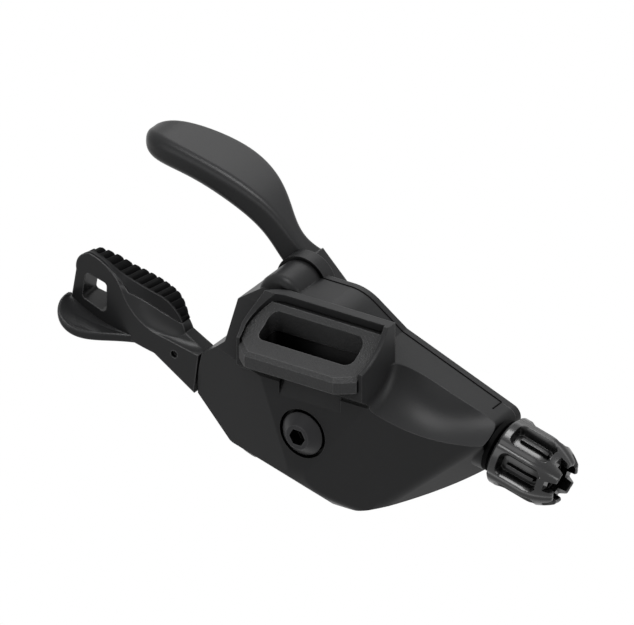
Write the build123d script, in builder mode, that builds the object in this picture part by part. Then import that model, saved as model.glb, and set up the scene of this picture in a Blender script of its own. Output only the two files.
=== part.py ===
from build123d import *
import math
import os

os.makedirs("parts", exist_ok=True)

# Frame: origin at the slot centre on the clamp seat, X along the handlebar towards the cable nose,
# Y backwards along the axle, Z up. Sizes in millimetres.
axle_z = -17.6
axle_face_y = -2.8

# Clearances
running = 0.05
body_gap = 0.3

# Depths of the stack on the axle, measured backwards from the axle face
shaft_r = 3.0
wall_front = 2.6
release_front = 5.2
release_thick = 1.6
release_back = release_front + release_thick
front_cavity_back = 9.6
spool_front = 10.9
spool_thick = 2.8
spool_back = spool_front + spool_thick
ratchet_thick = 1.1
ratchet_back = spool_back + ratchet_thick
carrier_thick = 0.9
carrier_front = ratchet_back + body_gap
carrier_back = carrier_front + carrier_thick
plate_front = carrier_back + body_gap
plate_thick = 1.2
seam = plate_front + plate_thick
cover_thick = 1.5
collar_depth = 3.0
lever_front = seam + collar_depth + body_gap
hub_thick = 4.7
hub_back = lever_front + hub_thick
nut_front = hub_back + 0.1
nut_thick = 2.2
nut_r = 4.6
axle_end = nut_front + nut_thick + 0.6

# Axle head
head_r = 4.3
head_groove = 0.6
head_seat = 1.4
head_rise = 1.8
head_top_r = 2.4
hex_flats = 3.0

# Clamp seat and bracket
seat_r = 12.3
seat_axis_depth = -3.4
seat_axis_z = 28.6
slot_length = 20.4
slot_width = 5.6
slot_depth_at = 2.8
slot_corner = 1.7
bracket_half = 13.2
bracket_thick = 3.1
lip_front = -5.0
bracket_back = 7.2
bracket_top = 21.2
pocket_floor = 10.6
pedestal_wall = 0.9
pedestal_top = 22.9
rim_rise = 0.7
rim_round = 0.3

# Cable line and barrel
cable_r = 11.2
cable_drop = 15.0
cable_depth = spool_front + spool_thick / 2
nose_end = 32.5
nose_end_r = 5.3
nose_root_r = 7.8
nose_root = 8.0
nose_high = 4.24
nose_low = -4.98
nose_round = 2.2
bevel_round = 3.0
ring_thick = 0.9
ring_r = 5.2
knob_start = nose_end + ring_thick + body_gap
knob_length = 14.2
knob_r = 6.4
knob_end_r = 4.3
knob_bend = 7.0
mouth_floor = knob_length - 4.0
knob_lobes = 6
knob_turn = 109.0
knob_mouth_r = 3.5
window_width = 4.2
window_depth = 1.1
rib_width = 0.9
bolt_r = 3.0
bolt_start = 20.0
bolt_length = 24.5
socket_r = 2.5
socket_depth = 5.0
cable_hole_r = 0.9

# Cavities
front_cavity_r = 9.0
spool_r = cable_r + 0.6
cavity_r = spool_r + 0.8
shell_left_r = 25.0
sleeve_r = 4.6
spacer_r = 4.2
carrier_r = 7.4
plate_ear_r = 2.4
hub_r = 9.0
base_plate_r = cavity_r + body_gap

# Ratchet and pawls
ratchet_tip_r = 9.0
ratchet_root_r = 8.0
ratchet_teeth = 24
pawl_thick = 0.7
pawl_front = spool_back + body_gap
hold_shaft_r = 1.0
hold_pivot_r = spool_r + hold_shaft_r + body_gap
hold_pivot_angle = 204.5
hold_nose_angle = 240.0
hold_eye_r = 1.9
drive_pivot_r = 10.7
drive_pivot_angle = -62.0
drive_nose_angle = -34.0
pin_r = 0.8
eye_r = 1.4
nose_clear = 0.3

# Release lever
release_angle = 172.4
release_arm_width = 5.0
release_hub_r = 4.8
release_mesh_r = hold_pivot_r / 2
finger_r = 0.8
release_travel = 9.0
slot_half = release_arm_width / 2 + running
release_reach = 28.0
root_r = shell_left_r + 0.7
lever_body_front = 2.9
lever_body_back = 7.9
lever_scoop_back = 5.2
lever_pad_back = 10.2
lever_hollow_depth = 4.3
crest_fall = 1.3
grip_front = 3.8
grip_gap = 0.1
grip_grooves = 14
grip_start = 0.1
grip_share = 0.78
groove_front = 6.0
groove_width = 0.7
groove_depth = 0.5

# Springs
wire_r = 0.4
coil_r = 5.6
spring_recess = 2.4

# Screws
screw_r = 1.1
screw_head_r = 2.0
screw_head_thick = 0.8
screw_seat = seam + cover_thick - screw_head_thick
screw_spots = [(-11.5, 19.7), (-17.3, -10.9), (21.0, -4.6)]
screw_tip = 10.8
hump_r = 4.8
slope_high = (10.4, 16.2)
hump_front = 9.4
lug_r = 3.0


def front_plane(depth):
    """Plane facing the front, depth behind the axle face, drawn in X and Z from the axle."""
    return Plane(origin=(0, axle_face_y + depth, axle_z), x_dir=(1, 0, 0), z_dir=(0, -1, 0))


def side_plane(x):
    """Plane facing +X, drawn in depth and Z from the axle."""
    return Plane(origin=(x, axle_face_y, axle_z), x_dir=(0, 1, 0), z_dir=(1, 0, 0))


def top_plane(z):
    """Plane facing up, z above the axle, drawn in X and depth."""
    return Plane(origin=(0, axle_face_y, axle_z + z), x_dir=(1, 0, 0), z_dir=(0, 0, 1))


def on_circle(radius, angle):
    """Point on a circle round the axle, in X and Z."""
    return (radius * math.cos(math.radians(angle)), radius * math.sin(math.radians(angle)))


drop = math.radians(cable_drop)


def barrel_plane(distance):
    """Plane across the cable line, distance from its tangent point on the spool, facing the knob end."""
    x = cable_r * math.sin(drop) + distance * math.cos(drop)
    z = axle_z + cable_r * math.cos(drop) - distance * math.sin(drop)
    along = (math.cos(drop), 0, -math.sin(drop))
    return Plane(origin=(x, axle_face_y + cable_depth, z), x_dir=(0, 1, 0), z_dir=along)


def barrel_point(distance, rise):
    """Point of the front view beside the cable line, in X and Z from the axle."""
    x = cable_r * math.sin(drop) + distance * math.cos(drop) + rise * math.sin(drop)
    z = cable_r * math.cos(drop) - distance * math.sin(drop) + rise * math.cos(drop)
    return (x, z)


def facet_plane(x, z, fall_angle, tilt):
    """Sloping front facet through a point of the axle face, falling back towards fall_angle."""
    fall_x, fall_z = on_circle(1, fall_angle)
    lean = math.radians(tilt)
    normal = (fall_x * math.sin(lean), -math.cos(lean), fall_z * math.sin(lean))
    return Plane(origin=(x, axle_face_y, axle_z + z), z_dir=normal)


def edge_near(part, x, depth, z):
    """Edge of a part whose middle lies nearest to a point given from the axle."""
    spot = Vector(x, axle_face_y + depth, axle_z + z)
    return part.edges().sort_by(lambda edge: (edge.center() - spot).length)[0]


def save(node, name):
    """Label a finished part and write its file."""
    node.part.label = name
    export_step(node.part, "parts/" + name + ".step")


hold_pivot = on_circle(hold_pivot_r, hold_pivot_angle)
drive_pivot = on_circle(drive_pivot_r, drive_pivot_angle)
hump_spot, lug_spot, nose_spot = screw_spots
nose_corner = barrel_point(nose_end, nose_high)


def slope_z(x):
    """Height of the sloping top face above the axle."""
    fall = (slope_high[1] - nose_corner[1]) / (nose_corner[0] - slope_high[0])
    return slope_high[1] - fall * (x - slope_high[0])


def arm_edge(angle, side, start, end):
    """Two points of a line beside the ray at an angle from the axle, side millimetres to its left."""
    ray_x, ray_z = on_circle(1, angle)
    near = (start * ray_x - side * ray_z, start * ray_z + side * ray_x)
    far = (end * ray_x - side * ray_z, end * ray_z + side * ray_x)
    return near, far


def shell_outline():
    """Outline of the shell at the seam, without the hump."""
    with BuildLine() as outline:
        FilletPolyline(slope_high, nose_corner, barrel_point(nose_end, nose_low), radius=nose_round)
        ThreePointArc(barrel_point(nose_end, nose_low), (21.0, -10.2), (7.5, -15.4))
        ThreePointArc((7.5, -15.4), (0.0, -14.8), (-7.0, -12.0))
        Line((-7.0, -12.0), (-17.6, -7.6))
        ThreePointArc((-17.6, -7.6), (-21.8, -6.9), on_circle(shell_left_r, 189))
        CenterArc((0, 0), shell_left_r, 160, 29)
        Polyline(on_circle(shell_left_r, 160), (-18.6, 12.4), (-19.2, 18.7), (-14.6, 21.7), (-7.0, 22.2))
        Line((-7.0, 22.2), (-0.6, 22.2))
        ThreePointArc((-0.6, 22.2), (2.0, 21.7), (4.2, 20.6))
        Line((4.2, 20.6), slope_high)
    return outline.line


# Cone round the cable in the nose, trimmed to the outline of the shell
with BuildPart(barrel_plane((nose_root + nose_end) / 2)) as nose:
    Cone(nose_root_r, nose_end_r, nose_end - nose_root)
    with BuildSketch(front_plane(0)):
        add(shell_outline())
        make_face()
    extrude(amount=-seam, mode=Mode.INTERSECT)

# Scoop between the pedestal and the nose. Each section has its x, the depth and height of the front
# ridge, the height of the hollow and the depth of the edge on the sloping top face.
scoop_sections = [
    (14.1, 0.0, 9.0, 9.4, 9.0),
    (20.0, 2.0, 6.1, 6.5, 11.0),
    (26.0, 3.6, 4.6, 5.6, 11.5),
    (31.0, 4.8, 4.4, 6.0, 12.4),
    (37.0, 6.2, 5.0, 5.5, 13.6),
]
with BuildPart() as scoop:
    for x, ridge_depth, ridge_z, hollow_z, top_depth in scoop_sections:
        front = (ridge_depth - 1.5, ridge_z - 0.1)
        high = (top_depth + 0.5, slope_z(x) + 1.2)
        with BuildSketch(side_plane(x)):
            with BuildLine():
                Line((-8, ridge_z), front)
                Bezier(front, (top_depth - 2.0, hollow_z), high)
                Polyline(high, (high[0], 26), (-8, 26), (-8, ridge_z))
            make_face()
    loft()

# Pedestal that carries the clamp bracket
with BuildPart() as pedestal:
    with BuildSketch(top_plane(9.0)):
        with BuildLine():
            Polyline((-8.5, 9.2), (14.1, 9.2), (14.1, -2.0), (-13.0, -2.0), (-14.1, 1.5))
            TangentArc((-14.1, 1.5), (-8.5, 9.2), tangent=(-0.1, 1))
        make_face()
    extrude(amount=pedestal_top - 9.0)
    with BuildSketch(side_plane(-30)):
        with Locations((seat_axis_depth, seat_axis_z)):
            Circle(seat_r - rim_rise)
        Polygon((-3, 12.2), (-3, 5), (1.5, 5), (1.5, 8.8), align=None)
    extrude(amount=60, mode=Mode.SUBTRACT)
    fillet([edge_near(pedestal.part, 14.1, 3.0, 19.0)], radius=rim_round)

# Block that both the bracket and its seat in the pedestal are cut from
with BuildPart() as bracket_block:
    with BuildSketch(top_plane(8.0)):
        with BuildLine():
            Polyline((-8.0, bracket_back), (bracket_half, bracket_back), (bracket_half, -2.4))
            Polyline((bracket_half, -2.4), (9.8, lip_front), (-9.3, lip_front))
            Polyline((-9.3, lip_front), (1.0 - bracket_half, -2.4), (-bracket_half, 1.4))
            TangentArc((-bracket_half, 1.4), (-8.0, bracket_back), tangent=(-0.1, 1))
        make_face()
    extrude(amount=22)
    with BuildSketch(side_plane(-30)):
        with Locations((seat_axis_depth, seat_axis_z)):
            Circle(seat_r + bracket_thick)
    extrude(amount=60, mode=Mode.INTERSECT)

# Hump on top of the shell
with BuildPart() as hump:
    with BuildSketch(front_plane(seam)):
        with Locations(hump_spot):
            Circle(hump_r)
    extrude(amount=seam - hump_front)
    fillet([edge_near(hump.part, hump_spot[0], hump_front, hump_spot[1])], radius=hump_r * 0.35)

# Front housing
with BuildPart() as housing:
    with BuildSketch(front_plane(0)):
        add(shell_outline())
        make_face()
    extrude(amount=-seam)
    with BuildSketch(side_plane(-40)):
        with BuildLine():
            Line((0, 9.2), (0, -7.4))
            TangentArc((0, -7.4), (11.0, -17.0), tangent=(0, -1))
            Polyline((11.0, -17.0), (seam, -17.0), (seam, 30), (13, 30), (8.3, 19.1), (0, 9.2))
        make_face()
    extrude(amount=90, mode=Mode.INTERSECT)
    split(bisect_by=facet_plane(-7.0, 3.0, 199.0, 10.5), keep=Keep.BOTTOM)
    split(bisect_by=facet_plane(4.5, -2.9, -37.2, 16.0), keep=Keep.BOTTOM)
    split(bisect_by=facet_plane(25.5, 1.8, -46.0, 54.7), keep=Keep.BOTTOM)
    split(bisect_by=facet_plane(-22.7, 1.5, 222.0, 47.9), keep=Keep.BOTTOM)
    split(bisect_by=facet_plane(3.4, -11.6, 254.2, 50.2), keep=Keep.BOTTOM)
    fillet([edge_near(housing.part, 7.4, 0, 0.9), edge_near(housing.part, -6.3, 0, 0.9)], radius=2.0)
    bevel_edge = edge_near(housing.part, 21.0, 5.0, -5.0)
    fillet([bevel_edge], radius=bevel_round)
    add(nose.part)
    add(scoop.part, mode=Mode.SUBTRACT)
    add(pedestal.part)
    add(hump.part)
    with BuildSketch(front_plane(seam)):
        with Locations(lug_spot):
            Circle(lug_r)
    extrude(amount=seam - screw_tip + 0.8)
    # bracket seat, bolt pocket below the slot and the scoop that opens it to the front
    add(bracket_block.part, mode=Mode.SUBTRACT)
    with BuildSketch(top_plane(pocket_floor)):
        with Locations((0, slot_depth_at)):
            RectangleRounded(slot_length + 1.6, slot_width + 1.6, slot_corner + 0.8)
    extrude(amount=10, mode=Mode.SUBTRACT)
    with BuildSketch(side_plane(-5.0)):
        Polygon((-6, 3.3), (0, 6.6), (1.4, 10.2), (1.4, 14.0), (-6, 14.0), align=None)
    extrude(amount=13.2, mode=Mode.SUBTRACT)
    # axle head seat and axle hole
    with BuildSketch(front_plane(-2)):
        Circle(head_r + head_groove)
    extrude(amount=-(head_seat + 2), mode=Mode.SUBTRACT)
    with BuildSketch(front_plane(0)):
        Circle(shaft_r + running)
    extrude(amount=-seam, mode=Mode.SUBTRACT)
    # cavities for the release lever, the springs and the spool
    with BuildSketch(front_plane(wall_front)):
        Circle(front_cavity_r)
        Circle(spacer_r, mode=Mode.SUBTRACT)
    extrude(amount=wall_front - front_cavity_back, mode=Mode.SUBTRACT)
    with BuildSketch(front_plane(release_front - body_gap)):
        Circle(front_cavity_r)
        Polygon(
            *arm_edge(release_angle, -release_arm_width / 2 - 0.5, 2, 30),
            *reversed(arm_edge(release_angle + release_travel + 1, release_arm_width / 2 + 0.5, 2, 30)),
            align=None,
        )
        with Locations(hold_pivot):
            Circle(hold_eye_r + 0.5)
        Polygon(
            *arm_edge(hold_pivot_angle - 2, -2.6, 5, hold_pivot_r),
            *reversed(arm_edge(hold_pivot_angle + 10, 2.6, 5, hold_pivot_r)),
            align=None,
        )
    extrude(amount=-release_thick - 2 * body_gap, mode=Mode.SUBTRACT)
    with BuildSketch(front_plane(front_cavity_back - 4)):
        Circle(front_cavity_r)
    extrude(amount=-4, mode=Mode.SUBTRACT)
    with BuildSketch(front_plane(front_cavity_back)):
        Circle(cavity_r)
        with Locations(hold_pivot):
            Circle(hold_eye_r + 0.5)
        with Locations(on_circle(hold_pivot_r - 0.6, hold_pivot_angle + 14)):
            Circle(1.8)
    extrude(amount=front_cavity_back - plate_front, mode=Mode.SUBTRACT)
    with BuildSketch(front_plane(plate_front)):
        Circle(base_plate_r + 0.1)
        with Locations(hold_pivot):
            Circle(plate_ear_r + 0.1)
    extrude(amount=plate_front - seam, mode=Mode.SUBTRACT)
    with BuildSketch(front_plane(wall_front)):
        with Locations(hold_pivot):
            Circle(hold_shaft_r + running)
    extrude(amount=wall_front - seam, mode=Mode.SUBTRACT)
    # cable way and adjuster bore in the nose
    with BuildSketch(barrel_plane(4)):
        Circle(cable_hole_r + 0.3)
    extrude(amount=nose_end, mode=Mode.SUBTRACT)
    with BuildSketch(barrel_plane(bolt_start - 0.6)):
        Circle(bolt_r + running)
    extrude(amount=nose_end, mode=Mode.SUBTRACT)
    # screw holes
    with BuildSketch(front_plane(screw_tip)):
        with Locations(screw_spots):
            Circle(screw_r + running)
    extrude(amount=screw_tip - seam, mode=Mode.SUBTRACT)
    # soft end of the scoop beside the pedestal
    fillet([edge_near(housing.part, 14.1, 5.3, 10.8)], radius=2.5)
save(housing, "housing")

# Clamp bracket with its hollow seat, slot and bevelled front lip
lip_middles = [(0.2, lip_front), (11.5, -3.7), (-10.7, -3.7)]
with BuildPart() as mount_bracket:
    add(bracket_block.part)
    with BuildSketch(side_plane(-30)):
        with Locations((seat_axis_depth, seat_axis_z)):
            Circle(seat_r)
    extrude(amount=60, mode=Mode.SUBTRACT)
    split(bisect_by=top_plane(bracket_top), keep=Keep.BOTTOM)
    with BuildSketch(top_plane(8)):
        with Locations((0, slot_depth_at)):
            RectangleRounded(slot_length, slot_width, slot_corner)
    extrude(amount=20, mode=Mode.SUBTRACT)
    lip_edges = [edge_near(mount_bracket.part, x, depth, 16.3) for x, depth in lip_middles]
    chamfer(lip_edges, length=0.8)
save(mount_bracket, "mount_bracket")

# Base plate inside the back of the housing
with BuildPart() as base_plate:
    with BuildSketch(front_plane(plate_front)):
        Circle(base_plate_r)
        with Locations(hold_pivot):
            Circle(plate_ear_r)
        Circle(sleeve_r + running, mode=Mode.SUBTRACT)
        with Locations(hold_pivot):
            Circle(hold_shaft_r + running, mode=Mode.SUBTRACT)
    extrude(amount=-plate_thick)
save(base_plate, "base_plate")

# Back cover with a collar behind the hump
with BuildPart() as back_cover:
    with BuildSketch(front_plane(seam)):
        add(shell_outline())
        make_face()
        with Locations(hump_spot):
            Circle(hump_r)
        with Locations(lug_spot):
            Circle(lug_r)
    extrude(amount=-cover_thick)
    with BuildSketch(front_plane(seam)):
        with Locations(hump_spot):
            Circle(hump_r + 0.7)
        Circle(sleeve_r + 3.4)
    extrude(amount=-collar_depth)
    with BuildSketch(front_plane(seam)):
        Circle(sleeve_r + running)
        with Locations(screw_spots):
            Circle(screw_r + running)
    extrude(amount=-collar_depth, mode=Mode.SUBTRACT)
    with BuildSketch(front_plane(screw_seat)):
        with Locations(screw_spots):
            Circle(screw_head_r + 0.1)
    extrude(amount=-collar_depth, mode=Mode.SUBTRACT)
save(back_cover, "back_cover")

# Cover screws
with BuildPart() as cover_screws:
    with BuildSketch(front_plane(screw_seat)):
        with Locations(screw_spots):
            Circle(screw_head_r)
    extrude(amount=-screw_head_thick)
    with BuildSketch(front_plane(screw_seat)):
        with Locations(screw_spots):
            Circle(screw_r)
    extrude(amount=screw_seat - screw_tip - 0.3)
    with BuildSketch(front_plane(screw_seat + screw_head_thick)):
        with Locations(screw_spots):
            RegularPolygon(0.9, 6)
    extrude(amount=0.5, mode=Mode.SUBTRACT)
save(cover_screws, "cover_screws")

# Axle bolt with a conical head
with BuildPart() as axle_bolt:
    with BuildSketch(side_plane(0)):
        with BuildLine():
            Polyline((-head_rise, 0), (-head_rise, head_top_r), (0, head_r), (head_seat, head_r))
            Polyline((head_seat, head_r), (head_seat, shaft_r), (axle_end, shaft_r), (axle_end, 0))
            Line((axle_end, 0), (-head_rise, 0))
        make_face()
    revolve(axis=Axis((0, 0, axle_z), (0, 1, 0)))
    with BuildSketch(front_plane(-head_rise)):
        RegularPolygon(hex_flats / 2, 6, major_radius=False)
    extrude(amount=-2.6, mode=Mode.SUBTRACT)
save(axle_bolt, "axle_bolt")

# Axle nut
with BuildPart() as axle_nut:
    with BuildSketch(front_plane(nut_front)):
        RegularPolygon(nut_r, 6, major_radius=False)
        Circle(shaft_r + running, mode=Mode.SUBTRACT)
    extrude(amount=-nut_thick)
save(axle_nut, "axle_nut")

# Spacer between the release lever and the spool
with BuildPart() as axle_spacer:
    with BuildSketch(front_plane(release_back + body_gap)):
        Circle(spacer_r)
        Circle(shaft_r + running, mode=Mode.SUBTRACT)
    extrude(amount=release_back + 2 * body_gap - spool_front)
save(axle_spacer, "axle_spacer")

# Cable spool
with BuildPart() as cable_spool:
    with BuildSketch(side_plane(0)):
        with BuildLine():
            Polyline((spool_front, shaft_r + running), (spool_front, spool_r), (cable_depth - 0.9, spool_r))
            Line((cable_depth - 0.9, spool_r), (cable_depth - 0.5, cable_r - 0.6))
            Line((cable_depth - 0.5, cable_r - 0.6), (cable_depth + 0.5, cable_r - 0.6))
            Polyline((cable_depth + 0.5, cable_r - 0.6), (cable_depth + 0.9, spool_r), (spool_back, spool_r))
            Line((spool_back, spool_r), (spool_back, shaft_r + running))
            Line((spool_back, shaft_r + running), (spool_front, shaft_r + running))
        make_face()
    revolve(axis=Axis((0, 0, axle_z), (0, 1, 0)))
    # pocket for the end of the cable and windows that lighten the disc
    with BuildSketch(front_plane(spool_front)):
        with Locations(on_circle(cable_r - 1.6, 250)):
            Circle(1.9)
        with PolarLocations(6.6, 3, start_angle=30):
            Circle(1.8)
    extrude(amount=-spool_thick, mode=Mode.SUBTRACT)
save(cable_spool, "cable_spool")

# Ratchet wheel on the spool
tooth_step = 360 / ratchet_teeth
tooth_points = []
for tooth in range(ratchet_teeth):
    tooth_points.append(on_circle(ratchet_root_r, tooth * tooth_step))
    tooth_points.append(on_circle(ratchet_tip_r, tooth * tooth_step + 0.15 * tooth_step))
with BuildPart() as ratchet_wheel:
    with BuildSketch(front_plane(spool_back)):
        Polygon(*tooth_points, align=None)
        Circle(shaft_r + running, mode=Mode.SUBTRACT)
    extrude(amount=-ratchet_thick)
save(ratchet_wheel, "ratchet_wheel")

# Pawl carrier with the sleeve that joins it to the main lever
with BuildPart() as pawl_carrier:
    with BuildSketch(front_plane(carrier_front)):
        Circle(carrier_r)
        with Locations(drive_pivot):
            Circle(eye_r)
        Polygon(
            *arm_edge(drive_pivot_angle, -eye_r, 4, drive_pivot_r),
            *reversed(arm_edge(drive_pivot_angle, eye_r, 4, drive_pivot_r)),
            align=None,
        )
        Circle(shaft_r + running, mode=Mode.SUBTRACT)
        with Locations(drive_pivot):
            Circle(pin_r + running, mode=Mode.SUBTRACT)
    extrude(amount=-carrier_thick)
    with BuildSketch(front_plane(carrier_front)):
        Circle(sleeve_r)
        Circle(shaft_r + running, mode=Mode.SUBTRACT)
    extrude(amount=carrier_front - lever_front)
save(pawl_carrier, "pawl_carrier")


def pawl_outline(pivot, angle, nose_angle, eye):
    """Pawl seen from the front: an eye at the pivot and an arm that ends just clear of the ratchet."""
    nose_r = ratchet_tip_r + nose_clear
    Polygon(
        on_circle(nose_r, nose_angle),
        on_circle(nose_r + 1.5, nose_angle),
        on_circle(math.hypot(*pivot) + eye * 0.6, angle + 4 * (1 if nose_angle > angle else -1)),
        on_circle(math.hypot(*pivot) - eye * 0.8, angle),
        align=None,
    )
    with Locations(pivot):
        Circle(eye)


# Drive pawl and its pin
with BuildPart() as drive_pawl:
    with BuildSketch(front_plane(pawl_front)):
        pawl_outline(drive_pivot, drive_pivot_angle, drive_nose_angle, eye_r)
        with Locations(drive_pivot):
            Circle(pin_r + running, mode=Mode.SUBTRACT)
    extrude(amount=-pawl_thick)
save(drive_pawl, "drive_pawl")

with BuildPart() as drive_pawl_pin:
    with BuildSketch(front_plane(pawl_front)):
        with Locations(drive_pivot):
            Circle(pin_r)
    extrude(amount=pawl_front - carrier_back)
save(drive_pawl_pin, "drive_pawl_pin")

# Holding pawl with its shaft and the arm that the release lever pushes
with BuildPart() as holding_pawl:
    with BuildSketch(front_plane(pawl_front)):
        pawl_outline(hold_pivot, hold_pivot_angle, hold_nose_angle, hold_eye_r)
        with Locations(hold_pivot):
            Circle(hold_shaft_r + 0.02, mode=Mode.SUBTRACT)
    extrude(amount=-pawl_thick)
save(holding_pawl, "holding_pawl")

with BuildPart() as holding_shaft:
    with BuildSketch(front_plane(wall_front + body_gap)):
        with Locations(hold_pivot):
            Circle(hold_shaft_r)
    extrude(amount=wall_front + body_gap - seam + 0.2)
save(holding_shaft, "holding_shaft")

with BuildPart() as release_arm:
    with BuildSketch(front_plane(release_front + 0.1)):
        with Locations(hold_pivot):
            Circle(hold_eye_r)
        with Locations(on_circle(release_mesh_r, hold_pivot_angle)):
            Circle(finger_r)
        Polygon(
            *arm_edge(hold_pivot_angle, -finger_r, release_mesh_r, hold_pivot_r),
            *reversed(arm_edge(hold_pivot_angle, finger_r, release_mesh_r, hold_pivot_r)),
            align=None,
        )
        with Locations(hold_pivot):
            Circle(hold_shaft_r + 0.02, mode=Mode.SUBTRACT)
    extrude(amount=-release_thick + 0.2)
save(release_arm, "release_arm")

# Release plate that swings inside the housing and carries the release lever
with BuildPart() as release_plate:
    with BuildSketch(front_plane(release_front)):
        Circle(release_hub_r)
        Polygon(
            *arm_edge(release_angle, -release_arm_width / 2, 2, release_reach),
            *reversed(arm_edge(release_angle, release_arm_width / 2, 2, release_reach)),
            align=None,
        )
        Circle(shaft_r + running, mode=Mode.SUBTRACT)
    extrude(amount=-release_thick)
save(release_plate, "release_plate")

# Points that the sections of the release lever share
lever_root_low = on_circle(root_r, 181.5)
lever_root_high = on_circle(root_r, 163.0)
lever_low = [(-35.0, 5.4), (-43.7, 7.7), (-52.4, 11.6)]
lever_tip = (-51.3, 17.8)
lever_ridge = [(-48.5, 21.9), (-44.2, 20.0), (-41.2, 15.8), (-37.9, 11.4), (-32.2, 9.1)]
lever_hollow = [(-48.5, 20.8), (-43.0, 18.2), (-37.4, 13.9), (-33.6, 11.2), (-30.0, 9.2)]
lever_crest = [(-48.5, 20.4), (-41.3, 17.8), (-34.0, 15.9), (-30.4, 13.2), (-28.9, 9.9)]
lever_back = [(x, z - crest_fall) for x, z in lever_crest[:4]] + [lever_crest[4]]


def release_section(edge_points):
    """Section of the release lever seen from the front, with its own upper edge."""
    first = edge_points[0]
    tip_middle = ((lever_tip[0] + first[0]) / 2 - 0.7, (lever_tip[1] + first[1]) / 2 + 0.8)
    with BuildLine() as outline:
        Line(lever_root_high, lever_root_low)
        Line(lever_root_low, lever_low[0])
        ThreePointArc(*lever_low)
        Line(lever_low[-1], lever_tip)
        ThreePointArc(lever_tip, tip_middle, first)
        ThreePointArc(*edge_points[:3])
        ThreePointArc(*edge_points[2:])
        Line(edge_points[-1], lever_root_high)
    return outline.line


def grip_zone(gap):
    """Region of the thumb pad above its parting line, seen from the front."""
    left = (-46.8 + gap, 18.4 + gap)
    right = (-28.6, 11.4 + gap)
    with BuildLine() as outline:
        ThreePointArc(left, (-38.0, 14.7 + gap), right)
        Polyline(right, (-24, right[1]), (-24, 30), (left[0], 30), left)
    return outline.line


# Thumb flange along the lower edge of the release lever
flange_low = [(-37.5, 6.0), (-41.0, 6.2), (-46.0, 7.4), (-50.5, 9.4), (-53.5, 11.4)]
flange_rim = [(-38.5, 3.6), (-42.1, 1.0), (-44.8, -1.6), (-47.3, -3.4), (-49.9, -3.6), (-52.2, -1.6)]
flange_rim.append((-53.0, 3.6))
with BuildPart() as release_flange:
    with BuildSketch(front_plane(-8)):
        with BuildLine():
            Spline(*flange_low)
            Line(flange_low[-1], (flange_low[-1][0] - 0.8, flange_low[-1][1] + 1.4))
            Spline(*[(x - 0.8, z + 1.4) for x, z in reversed(flange_low)])
            Line((flange_low[0][0] - 0.8, flange_low[0][1] + 1.4), flange_low[0])
        make_face()
    extrude(amount=-(8 + lever_body_front))
    with BuildSketch(top_plane(0)):
        with BuildLine():
            Spline(*flange_rim)
            Line((-53.0, 3.6), (-38.5, 3.6))
        make_face()
    extrude(amount=30, mode=Mode.INTERSECT)

# Body of the release lever: a flat front face below a curved ridge, a scoop and a pad that falls to the back
with BuildPart() as release_body:
    scoop_depths = (lever_body_front, lever_hollow_depth, lever_scoop_back)
    for depth, edge_points in zip(scoop_depths, (lever_ridge, lever_hollow, lever_crest)):
        with BuildSketch(front_plane(depth)):
            add(release_section(edge_points))
            make_face()
    loft()
    for depth, edge_points in ((lever_scoop_back, lever_crest), (lever_pad_back, lever_back)):
        with BuildSketch(front_plane(depth)):
            add(release_section(edge_points))
            make_face()
    loft(ruled=True)
    # back edge of the thumb pad seen from above
    with BuildSketch(top_plane(-5)):
        with BuildLine():
            root = (-30.0, lever_body_back)
            tip = (-52.0, 7.0)
            Polyline(tip, (-60, 6.0), (-60, 0), (-20, 0), (-20, lever_body_back), root)
            Spline(root, (-33.0, 9.3), (-38.0, lever_pad_back), (-44.0, 9.2), tip)
        make_face()
    extrude(amount=40, mode=Mode.INTERSECT)

# Release lever without the grip
with BuildPart() as release_lever:
    add(release_body.part)
    with BuildSketch(front_plane(grip_front - grip_gap)):
        add(grip_zone(0))
        make_face()
    extrude(amount=-12, mode=Mode.SUBTRACT)
    add(release_flange.part)
    # window in the tip
    with BuildSketch(front_plane(0)) as tip_window:
        Polygon((-50.0, 12.4), (-44.8, 10.4), (-44.6, 16.6), (-49.2, 17.8), align=None)
        fillet(tip_window.vertices(), radius=0.8)
    extrude(amount=-12, mode=Mode.SUBTRACT)
    # slot for the release plate and the small blind hole in front of it
    with BuildSketch(front_plane(release_front)):
        Polygon(
            *arm_edge(release_angle, -slot_half, 20, release_reach + running),
            *reversed(arm_edge(release_angle, slot_half, 20, release_reach + running)),
            align=None,
        )
    extrude(amount=-release_thick, mode=Mode.SUBTRACT)
    with BuildSketch(front_plane(lever_body_front)):
        with Locations((-29.9, 6.3)):
            Circle(0.7)
    extrude(amount=-0.9, mode=Mode.SUBTRACT)
    # soft lower edge and rims
    fillet([edge_near(release_lever.part, -30.3, lever_body_front, 2.4)], radius=0.5)
    rims = [edge_near(release_lever.part, -47.8, -3.6, 8.1), edge_near(release_lever.part, -47.8, -3.6, 9.1)]
    fillet(rims, radius=0.3)
save(release_lever, "release_lever")

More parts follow.
